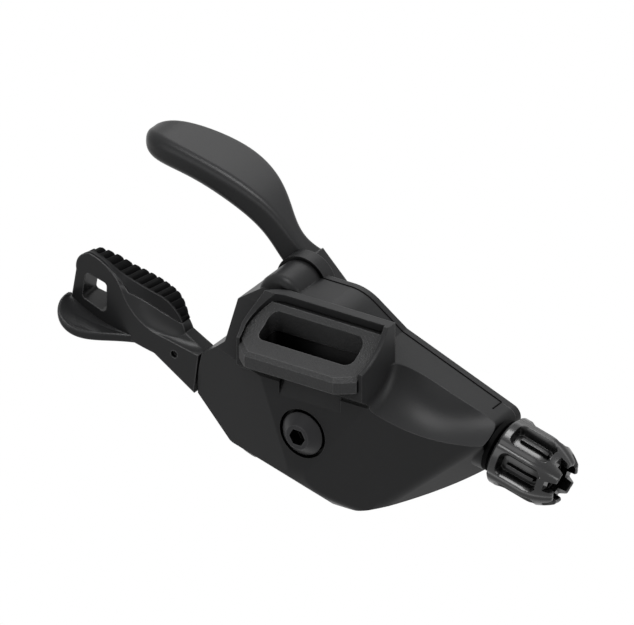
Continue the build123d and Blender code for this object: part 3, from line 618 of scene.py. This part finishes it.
@dataclass
class BarrelAdjuster(SubAssembly):
    """Adjuster at the end of the nose: knob, ring and bolt.

    Attributes:
        start: Middle of the knob's inner end, in millimetres.
        drop: Angle by which the cable line falls, in degrees.
        length: Length of the knob.
        radius: Largest radius of the knob.
        end_radius: Radius at the outer end.
        bend: Distance from the start at which the knob begins to narrow.
        chamfer: Drop of the rounded inner end, and where its soft step begins and ends.
        mouth_radius: Radius of the open mouth.
        mouth_floor: Distance from the start to the floor of the mouth.
        bore_radius: Radius of the hole that the bolt turns in.
        lip: How far the rim swells between the notches.
        lobes: Number of windows round the knob.
        turn: Angle of the first window, in degrees.
        window: Middle, half length, half width and corner radius of a window.
        window_edge: Distances from its outline at which a window's wall begins and ends.
        window_depth: Depth of a window.
        rib: Middle, half length, half width and corner radius of the rib in a window.
        rib_edge: Distances from its outline at which a rib's wall begins and ends.
        rib_depth: Depth of the rib's top.
        notch: Depth and half width of a notch in the rim.
        notch_edge: Distances from its side at which a notch begins and ends.
        notch_out: How far outside the end radius the width of a notch is measured.
        valley: Depth and width of the valley between two lobes.
        columns: Number of places round the knob.
        rows: Number of places along its outside.
    """

    start: Place = (36.03, 9.5, -15.659)
    drop: float = 15.0
    length: float = 12.9
    radius: float = 6.65
    end_radius: float = 4.45
    bend: float = 7.0
    chamfer: tuple[float, float, float] = (0.7, -0.35, 0.55)
    mouth_radius: float = 3.5
    mouth_floor: float = 9.6
    bore_radius: float = 3.05
    lip: float = 0.18
    lobes: int = 6
    turn: float = 109.0
    window: tuple[float, float, float, float] = (5.9, 4.1, 2.4, 1.3)
    window_edge: tuple[float, float] = (-0.3, 0.12)
    window_depth: float = 1.9
    rib: tuple[float, float, float, float] = (6.2, 3.0, 0.5, 0.2)
    rib_edge: tuple[float, float] = (-0.12, 0.12)
    rib_depth: float = 0.95
    notch: tuple[float, float] = (1.6, 1.1)
    notch_edge: tuple[float, float] = (-0.3, 0.1)
    notch_out: float = 0.2
    valley: tuple[float, float] = (0.22, 0.55)
    columns: int = 361
    rows: int = 150

    @staticmethod
    def _inside(
        along: np.ndarray, arc: np.ndarray, box: tuple[float, float, float, float], edge: tuple[float, float]
    ) -> np.ndarray:
        """Mask of a rounded rectangle on the knob: 1 inside it and 0 outside, with a soft edge.

        Args:
            along: Distance from the knob's start.
            arc: Distance round the knob from the nearest lobe's middle.
            box: Middle, half length, half width and corner radius.
            edge: Distances from the outline at which the mask begins and ends to fall.

        Returns:
            The mask at each place.
        """
        middle, half_length, half_width, corner = box
        return 1.0 - smooth_step(rounded_box(along - middle, arc, (half_length, half_width), corner), *edge)

    def _outer(self, along: np.ndarray, around: np.ndarray) -> np.ndarray:
        """Outer radius of the knob.

        A straight barrel narrows by the square of the distance past the bend. A shallow valley runs between
        the lobes, a rounded window sinks into each lobe and a rib rises from its floor.

        Args:
            along: Distance from the knob's start.
            around: Angle from the nearest lobe's middle, in radians.

        Returns:
            The radius at each place.
        """
        past = np.maximum(along - self.bend, 0.0) / (self.length - self.bend)
        radius = self.radius - (self.radius - self.end_radius) * past**2
        fall, first, last = self.chamfer
        radius = radius - fall * (1.0 - smooth_step(along, first, last))
        arc = around * radius
        edge = np.pi / self.lobes - np.abs(around)
        depth, width = self.valley
        radius = radius - depth * np.exp(-((edge * self.radius / width) ** 2))
        window = self._inside(along, arc, self.window, self.window_edge)
        rib = self._inside(along, arc, self.rib, self.rib_edge)
        return radius - window * (self.window_depth - (self.window_depth - self.rib_depth) * rib)

    def knob(self) -> bpy.types.Object:
        """Knob as a closed profile carried round the cable line.

        The profile runs along the outside, over the notched rim, down the mouth, over its floor, back
        through the bore and out over the inner end. The rim steps back where a notch crosses it.

        Returns:
            The knob.
        """
        angle = np.linspace(0.0, 2.0 * np.pi, self.columns)[:, None]
        pitch = 2.0 * np.pi / self.lobes
        around = np.mod(angle - math.radians(self.turn) + pitch / 2, pitch) - pitch / 2
        reach, half_width = self.notch
        first, last = (half_width + edge for edge in self.notch_edge)
        step = 1.0 - smooth_step(np.abs(around) * (self.end_radius + self.notch_out), first, last)
        rim = self.length - reach * step
        along = rim * np.linspace(0.0, 1.0, self.rows)[None, :]
        outside = self._outer(along, np.broadcast_to(around, along.shape))
        share = np.linspace(0.0, 1.0, 8)[None, 1:]
        flat = np.ones_like(angle)
        lip_radius = outside[:, -1:] + (self.mouth_radius - outside[:, -1:]) * share
        lip_along = rim + self.lip * np.sin(np.pi * share) * (1.0 - step)
        wall_along = rim + (self.mouth_floor - rim) * share
        floor_radius = flat * (self.mouth_radius + (self.bore_radius - self.mouth_radius) * share)
        bore_along = flat * (self.mouth_floor * (1.0 - share))
        face_radius = self.bore_radius + (outside[:, :1] - self.bore_radius) * share[:, :-1]
        distance = np.concatenate([
            along, lip_along, wall_along, flat * np.full_like(share, self.mouth_floor), bore_along,
            flat * np.zeros_like(share[:, :-1]),
        ], axis=1)
        radius = np.concatenate([
            outside, lip_radius, flat * np.full_like(share, self.mouth_radius), floor_radius,
            flat * np.full_like(share, self.bore_radius), face_radius,
        ], axis=1)
        fall = math.radians(self.drop)
        line = np.array([math.cos(fall), 0.0, -math.sin(fall)])
        up = np.array([math.sin(fall), 0.0, math.cos(fall)])
        side = np.array([0.0, 1.0, 0.0])
        spoke = np.cos(angle)[..., None] * side + np.sin(angle)[..., None] * up
        places = np.array(self.start) + distance[..., None] * line + radius[..., None] * spoke
        return grid_object("knob_lobed", places)

    def build(self, wardrobe: Wardrobe) -> None:
        """Dress the ring and bolt and build the knob."""
        super().build(wardrobe)
        knob = self.knob()
        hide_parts("barrel_knob")
        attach(knob, "adjuster_knob")
        wardrobe.dress(knob, Finishes.KNOB)


@dataclass
class ReleaseLever(SubAssembly):
    """Release lever with its ribbed thumb grip.

    Attributes:
        ridge: Points of the front ridge in X and Z from the axle.
        hollow: Points of the hollow behind the ridge.
        crest: Points of the crest that the ribs start from.
        depths: Depths of the ridge, the hollow and the crest.
        tip: Lower end of the arc round the lever's tip.
        tip_bend: How far the middle of that arc lies off its chord.
        parting: Points of the parting line below the grip.
        span: First and last place of the grip along X.
        back: Depth of the back edge at five places along X.
        back_round: Drop and width of the rounded back edge.
        front: Depth of the grip's front edge.
        front_round: Width over which the front wall takes up the lift of the ribs.
        skin: Least height of the grip above the parting line.
        fall: How far the top falls for each millimetre of depth.
        lift: How far the ribs stand above the lever at its tip.
        lift_fade: Places along X between which that lift fades.
        ribs: Number of grooves across the grip.
        groove_depth: Depth of a groove.
        groove_power: Power of the cosine that shapes a groove.
        groove_phase: Part of a groove added over the whole length, and the phase at the tip.
        groove_start: Distances behind the crest between which a groove deepens.
        black_start: Distances behind the crest between which the rubber's black begins.
        rib_black: How black the tops of the ribs are; the grooves go fully black, painted shade on the black
            rubber.
        rim: Points of the flange's rim in X and depth.
        rim_trim: Shares of the rim at which the flange begins and ends.
        rim_columns: Number of places along the rim.
        rim_root: Depth at which the flange joins the lever.
        rim_bulge: How far the half circle at the rim stands out.
        rim_fade: Reaches of the flange at which the bulge and the dish are full.
        underside: Points of the flange's underside in X and Z.
        flange_thick: Thickness of the flange.
        flange_sink: How far its underside lies below those points.
        dish_depth: Depth of the dish.
        bead: Height of the bead, its place as a share of the reach, and its width.
    """

    ridge: Points = ((-48.5, 21.9), (-44.2, 20.0), (-41.2, 15.8), (-37.9, 11.4), (-32.2, 9.1))
    hollow: Points = ((-48.5, 20.8), (-43.0, 18.2), (-37.4, 13.9), (-33.6, 11.2), (-30.0, 9.2))
    crest: Points = ((-48.5, 20.4), (-41.3, 17.8), (-34.0, 15.9), (-30.4, 13.2), (-28.9, 9.9))
    depths: tuple[float, float, float] = (2.9, 4.3, 5.2)
    tip: tuple[float, float] = (-51.3, 17.8)
    tip_bend: tuple[float, float] = (-0.7, 0.8)
    parting: Points = ((-46.7, 18.5), (-38.0, 14.8), (-28.6, 11.5))
    span: tuple[float, float] = (-50.9, -29.55)
    back: Points = ((-52.0, 7.4), (-44.0, 10.6), (-38.0, 11.6), (-33.0, 10.2), (-30.0, 8.2))
    back_round: tuple[float, float] = (0.35, 0.5)
    front: float = 3.8
    front_round: float = 0.6
    skin: float = 0.02
    fall: float = 0.14
    lift: float = 0.5
    lift_fade: tuple[float, float] = (-46.7, -43.0)
    ribs: int = 14
    groove_depth: float = 0.55
    groove_power: int = 3
    groove_phase: tuple[float, float] = (0.6, 0.7)
    groove_start: tuple[float, float] = (0.3, 0.8)
    black_start: tuple[float, float] = (0.25, 0.5)
    rib_black: float = 0.86
    rim: Points = (
        (-38.3, 3.4), (-42.1, 1.0), (-44.8, -1.6), (-47.3, -3.4), (-49.9, -3.6), (-52.2, -1.6), (-53.0, 3.4),
    )
    rim_trim: tuple[float, float] = (0.012, 0.988)
    rim_columns: int = 121
    rim_root: float = 3.4
    rim_bulge: float = 0.3
    rim_fade: tuple[float, float] = (2.0, 2.5)
    underside: Points = ((-37.5, 6.0), (-41.0, 6.2), (-46.0, 7.4), (-50.5, 9.4), (-53.5, 11.4))
    flange_thick: float = 1.5
    flange_sink: float = 0.06
    dish_depth: float = 0.45
    bead: tuple[float, float, float] = (0.12, 0.93, 0.05)

    def _height(self, points: Points, x: np.ndarray) -> np.ndarray:
        """Height at each x of the arc round the tip and the two arcs through five points."""
        knots = np.array(points)
        share = np.linspace(0.0, 1.0, 200)
        tip = np.array(self.tip)
        bend = (tip + knots[0]) / 2 + np.array(self.tip_bend)
        arcs = (np.stack([tip, bend, knots[0]]), knots[:3], knots[2:])
        path = np.concatenate([three_point_arc(arc, share) for arc in arcs])
        return np.interp(x, path[:, 0], path[:, 1])

    def _scoop(self, x: np.ndarray, depth: np.ndarray) -> np.ndarray:
        """Height between ridge and crest: the parabola in depth through ridge, hollow and crest."""
        a, b, c = self.depths
        low, middle, high = (self._height(p, x) for p in (self.ridge, self.hollow, self.crest))
        return (
            low * (depth - b) * (depth - c) / ((a - b) * (a - c))
            + middle * (depth - a) * (depth - c) / ((b - a) * (b - c))
            + high * (depth - a) * (depth - b) / ((c - a) * (c - b))
        )

    def grip(self) -> bpy.types.Object:
        """Ribbed grip: a closed section carried along X.

        The section climbs the front wall to the crest, runs back over the falling top, down the back edge
        and forward again under the parting line. Grooves, a raised power of a cosine along the crest's
        length, sink into the top behind the crest.

        Returns:
            The grip.
        """
        x_all = np.linspace(*self.span, 4000)
        steps = np.hypot(np.diff(x_all), np.diff(self._height(self.crest, x_all)))
        run = np.concatenate([[0.0], np.cumsum(steps)])
        length = np.linspace(0.0, run[-1], 340)
        x = np.interp(length, run, x_all)[:, None]
        crest = self._height(self.crest, x)
        crest_depth = self.depths[2]
        low = three_point_arc(np.array(self.parting), np.linspace(0.0, 1.0, 400))
        base = np.minimum(np.interp(x, low[:, 0], low[:, 1]), crest - self.skin)
        raised = self.lift * (1.0 - smooth_step(x, *self.lift_fade))
        back = np.polyval(np.polyfit(*np.array(self.back).T, 4), x)
        search = np.linspace(self.front, crest_depth, 120)[None, :]
        foot = search[0, np.argmax(self._scoop(x, search) >= base, axis=1)][:, None]
        wall = foot + (crest_depth - foot) * np.linspace(0.0, 1.0, 14)[None, :]
        top = crest_depth + (back - crest_depth) * np.linspace(0.0, 1.0, 48)[None, 1:]
        behind = back * np.ones((1, 8))
        under = back + (foot - back) * np.linspace(0.0, 1.0, 8)[None, 1:-1]
        extra, phase = self.groove_phase
        turns = length[:, None] / length[-1] * (self.ribs + extra) - phase
        wave = (0.5 + 0.5 * np.cos(2.0 * np.pi * turns)) ** self.groove_power
        past_crest = top - crest_depth
        groove = self.groove_depth * wave * smooth_step(past_crest, *self.groove_start)
        drop, width = self.back_round
        edge = drop * smooth_step(top, back - width, back)
        top_height = np.maximum(crest + raised - self.fall * past_crest - groove - edge, base)
        start = smooth_step(wall, foot, foot + self.front_round)
        wall_height = np.maximum(self._scoop(x, wall) + raised * start, base)
        down = np.linspace(0.0, 1.0, 9)[None, 1:]
        behind_height = top_height[:, -1:] + (base - top_height[:, -1:]) * down
        depth = np.concatenate([wall, top, behind, under], axis=1)
        height = np.concatenate([wall_height, top_height, behind_height, base + 0.0 * under], axis=1)
        sections = np.stack([np.broadcast_to(x, depth.shape), depth, height], axis=-1)
        # The rubber is black; grooves blacker than the rib tops are painted shade.
        shade = self.rib_black + (1.0 - self.rib_black) * wave
        black = smooth_step(past_crest, *self.black_start) * shade
        rib = np.concatenate([np.zeros_like(wall), black, np.ones_like(behind), np.ones_like(under)], axis=1)
        rib = np.concatenate([rib[:1], rib, rib[-1:]])
        return grid_object("grip_ribbed", AXLE + with_poles(sections), sharp=50.0, rib=rib)

    def flange(self) -> bpy.types.Object:
        """Dished thumb flange below the lever: a closed section carried along the rim.

        The section runs from the lever over a shallow dish to a bead, round a half circle at the rim and
        back along the underside. The rim is a smooth curve in X and depth, the height falls with X.

        Returns:
            The flange.
        """
        share = np.linspace(*self.rim_trim, self.rim_columns)
        knots = np.array(self.rim)
        place = np.linspace(0.0, 1.0, len(knots))
        rim = np.stack([np.polyval(np.polyfit(place, knots[:, k], 5), share) for k in (0, 1)], axis=1)
        root_x = np.interp(share, [0.0, 1.0], knots[[0, -1], 0])
        root = np.stack([root_x, np.full(self.rim_columns, self.rim_root)], axis=1)
        top, bottom = np.linspace(0.0, 1.0, 30), np.linspace(1.0, 0.0, 20)
        turn = np.linspace(0.0, np.pi, 13)[1:-1]
        out = np.concatenate([top, np.ones_like(turn), bottom])
        lean = np.concatenate([np.zeros_like(top), np.sin(turn), np.zeros_like(bottom)])
        level = np.concatenate([np.ones_like(top), 0.5 + 0.5 * np.cos(turn), np.zeros_like(bottom)])
        bead_height, bead_place, bead_width = self.bead
        bead = bead_height * np.exp(-(((out - bead_place) / bead_width) ** 2))
        dish = np.where(level == 1.0, bead - self.dish_depth * np.sin(np.pi * out) ** 2, 0.0)
        reach = np.hypot(*(rim - root).T)[:, None]
        away = (rim - root) / np.maximum(reach, 1e-6)
        bulge_fade, dish_fade = (smooth_step(reach, 0.0, full) for full in self.rim_fade)
        plan = root[:, None] + (rim - root)[:, None] * out[None, :, None]
        plan = plan + away[:, None] * (self.rim_bulge * lean * bulge_fade)[..., None]
        low = np.polyval(np.polyfit(*np.array(self.underside).T, 3), plan[..., 0]) - self.flange_sink
        height = low + level[None, :] * self.flange_thick + dish[None, :] * dish_fade
        sections = np.stack([plan[..., 0], plan[..., 1], height], axis=-1)
        return grid_object("thumb_flange", AXLE + with_poles(sections), sharp=60.0)

    def build(self, wardrobe: Wardrobe) -> None:
        """Dress the lever and build its grip and flange."""
        super().build(wardrobe)
        grip = self.grip()
        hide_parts("release_grip")
        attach(grip, "release_lever")
        wardrobe.dress(grip, Finishes.GRIP)
        flange = self.flange()
        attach(flange, "release_lever")
        wardrobe.dress(flange, Finishes.LEVER)


@dataclass(frozen=True)
class Softbox:
    """Soft rectangular lamp that faces the object.

    Attributes:
        name: Name of the lamp.
        place: Where it stands, in metres.
        size: Width and height in metres.
        power: Power in watts.
    """

    name: str
    place: Place
    size: tuple[float, float]
    power: float

    def build(self) -> None:
        """Add the lamp to the scene."""
        data = bpy.data.lights.new(self.name, "AREA")
        data.shape = "RECTANGLE"
        data.size, data.size_y = self.size
        data.energy = self.power
        lamp = bpy.data.objects.new(self.name, data)
        bpy.context.scene.collection.objects.link(lamp)
        lamp.location = self.place
        lamp.rotation_mode = "QUATERNION"
        lamp.rotation_quaternion = (-Vector(self.place)).to_track_quat("-Z", "Y")


@dataclass
class Studio:
    """Floor, light and camera.

    Attributes:
        azimuth: Camera azimuth in degrees.
        elevation: Camera elevation in degrees.
        pixels_per_mm: Scale of the picture at the axle.
        axle_pixel: Where the face of the axle bolt falls in the picture.
        picture: Width and height of the picture in pixels.
        distance: Camera distance in metres.
        sensor: Width of the camera's sensor in millimetres.
        floor_drop: How far below the origin the floor lies, in metres.
        floor_half: Half the side of the floor, in metres.
        floor_grey: Grey of the floor.
        floor_rough: Roughness of the floor.
        fill: Strength of the surrounding light that falls on the object.
        softboxes: The lamps.
    """

    azimuth: float = 33.0
    elevation: float = 28.2
    pixels_per_mm: float = 5.5
    axle_pixel: tuple[float, float] = (302.4, 433.6)
    picture: tuple[int, int] = (634, 625)
    distance: float = 2.5
    sensor: float = 36.0
    floor_drop: float = 0.3
    floor_half: float = 4.0
    floor_grey: float = 0.85
    floor_rough: float = 0.9
    fill: float = 0.2
    softboxes: tuple[Softbox, ...] = (
        Softbox("back_softbox", (-0.22, 0.75, 0.62), (0.5, 0.35), 1.2),
        Softbox("top_softbox", (0.0, -0.05, 0.7), (0.3, 0.3), 3.8),
        Softbox("side_softbox", (0.75, 0.1, 0.3), (0.3, 0.6), 3.0),
        Softbox("front_softbox", (-0.25, -0.85, 0.35), (0.7, 0.6), 2.6),
    )

    def _axes(self) -> tuple[np.ndarray, np.ndarray, np.ndarray]:
        """Right, up and back directions of the camera."""
        a, e = math.radians(self.azimuth), math.radians(self.elevation)
        right = np.array([math.cos(a), math.sin(a), 0.0])
        up = np.array([-math.sin(a) * math.sin(e), math.cos(a) * math.sin(e), math.cos(e)])
        back = np.array([math.sin(a) * math.cos(e), -math.cos(a) * math.cos(e), math.sin(e)])
        return right, up, back

    def camera(self) -> None:
        """Place the camera so that the axle falls on its pixel at the picture's scale."""
        right, up, back = self._axes()
        across = (self.picture[0] / 2 - self.axle_pixel[0]) / self.pixels_per_mm
        rise = (self.axle_pixel[1] - self.picture[1] / 2) / self.pixels_per_mm
        aim = (AXLE + across * right + rise * up) * MM
        data = bpy.data.cameras.new("camera")
        data.sensor_width = self.sensor
        data.lens = data.sensor_width * self.distance / (self.picture[0] / self.pixels_per_mm * MM)
        data.clip_end = 50.0
        eye = bpy.data.objects.new("camera", data)
        bpy.context.scene.collection.objects.link(eye)
        eye.location = Vector(aim + back * self.distance)
        eye.rotation_mode = "QUATERNION"
        eye.rotation_quaternion = Vector(-back).to_track_quat("-Z", "Y")
        bpy.context.scene.camera = eye

    @staticmethod
    def seen(tree: bpy.types.NodeTree) -> bpy.types.NodeSocket:
        """Mask of the rays that see the backdrop: camera, glossy and transmission rays.

        Args:
            tree: Node tree of the backdrop.

        Returns:
            A socket that is 1 for such a ray.
        """
        path = tree.nodes.new("ShaderNodeLightPath")
        socket = path.outputs["Is Camera Ray"]
        for name in ("Is Glossy Ray", "Is Transmission Ray"):
            socket = compute(tree, "MAXIMUM", socket, path.outputs[name])
        return socket

    def world(self) -> None:
        """Even surrounding light that the camera and reflections of the backdrop see as white."""
        world = bpy.data.worlds.new("studio")
        bpy.context.scene.world = world
        world.use_nodes = True
        tree = world.node_tree
        back = tree.nodes["Background"]
        choose = tree.nodes.new("ShaderNodeMapRange")
        choose.inputs["To Min"].default_value = self.fill
        choose.inputs["To Max"].default_value = 1.0
        back.inputs["Color"].default_value = (1.0, 1.0, 1.0, 1.0)
        link(tree, self.seen(tree), choose.inputs["Value"])
        link(tree, choose.outputs["Result"], back.inputs["Strength"])

    def floor(self) -> None:
        """Pale floor far below the object, white to the camera."""
        side = np.array([-1.0, 1.0]) * self.floor_half
        x, y = np.meshgrid(side, side)
        points = np.stack([x.ravel(), y.ravel(), np.full(4, -self.floor_drop)], axis=1)
        mesh = bpy.data.meshes.new("floor")
        mesh.from_pydata(points.tolist(), [], [(0, 1, 3, 2)])
        floor = bpy.data.objects.new("floor", mesh)
        bpy.context.scene.collection.objects.link(floor)
        material = bpy.data.materials.new("floor_pale")
        material.use_nodes = True
        tree = material.node_tree
        shader = tree.nodes["Principled BSDF"]
        shader.inputs["Base Color"].default_value = (*[self.floor_grey] * 3, 1.0)
        shader.inputs["Roughness"].default_value = self.floor_rough
        glow = tree.nodes.new("ShaderNodeEmission")
        mix = tree.nodes.new("ShaderNodeMixShader")
        link(tree, self.seen(tree), mix.inputs[0])
        link(tree, shader.outputs[0], mix.inputs[1])
        link(tree, glow.outputs[0], mix.inputs[2])
        link(tree, mix.outputs[0], tree.nodes["Material Output"].inputs["Surface"])
        mesh.materials.append(material)

    def build(self) -> None:
        """Set the stage, the lamps and the camera."""
        bpy.context.scene.view_settings.view_transform = "Standard"
        self.floor()
        self.world()
        for softbox in self.softboxes:
            softbox.build()
        self.camera()


def main() -> None:
    """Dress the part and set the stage."""
    logging.basicConfig(level=logging.INFO, format="%(message)s")
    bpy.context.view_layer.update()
    wardrobe = Wardrobe()
    Shell({
        "housing": Finishes.SHELL, "back_cover": Finishes.SHELL, "mount_bracket": Finishes.BRACKET,
        "cover_screws": Finishes.DARK_STEEL, "axle_bolt": Finishes.DARK_STEEL,
        "axle_nut": Finishes.DARK_STEEL,
    }).build(wardrobe)
    SubAssembly({"main_lever": Finishes.LEVER}).build(wardrobe)
    ReleaseLever({"release_lever": Finishes.LEVER}).build(wardrobe)
    BarrelAdjuster({"nose_ring": Finishes.RING, "barrel_bolt": Finishes.DARK_STEEL}).build(wardrobe)
    steel = (
        "base_plate", "ratchet_wheel", "pawl_carrier", "drive_pawl", "drive_pawl_pin",
        "holding_pawl", "holding_shaft", "release_arm", "release_plate",
    )
    springs = ("spool_spring", "release_spring", "main_lever_spring")
    resin = ("cable_spool", "axle_spacer")
    SubAssembly({
        **{node: Finishes.STEEL for node in steel},
        **{node: Finishes.SPRING for node in springs},
        **{node: Finishes.RESIN for node in resin},
    }).build(wardrobe)
    Studio().build()


if __name__ == "__main__":
    main()
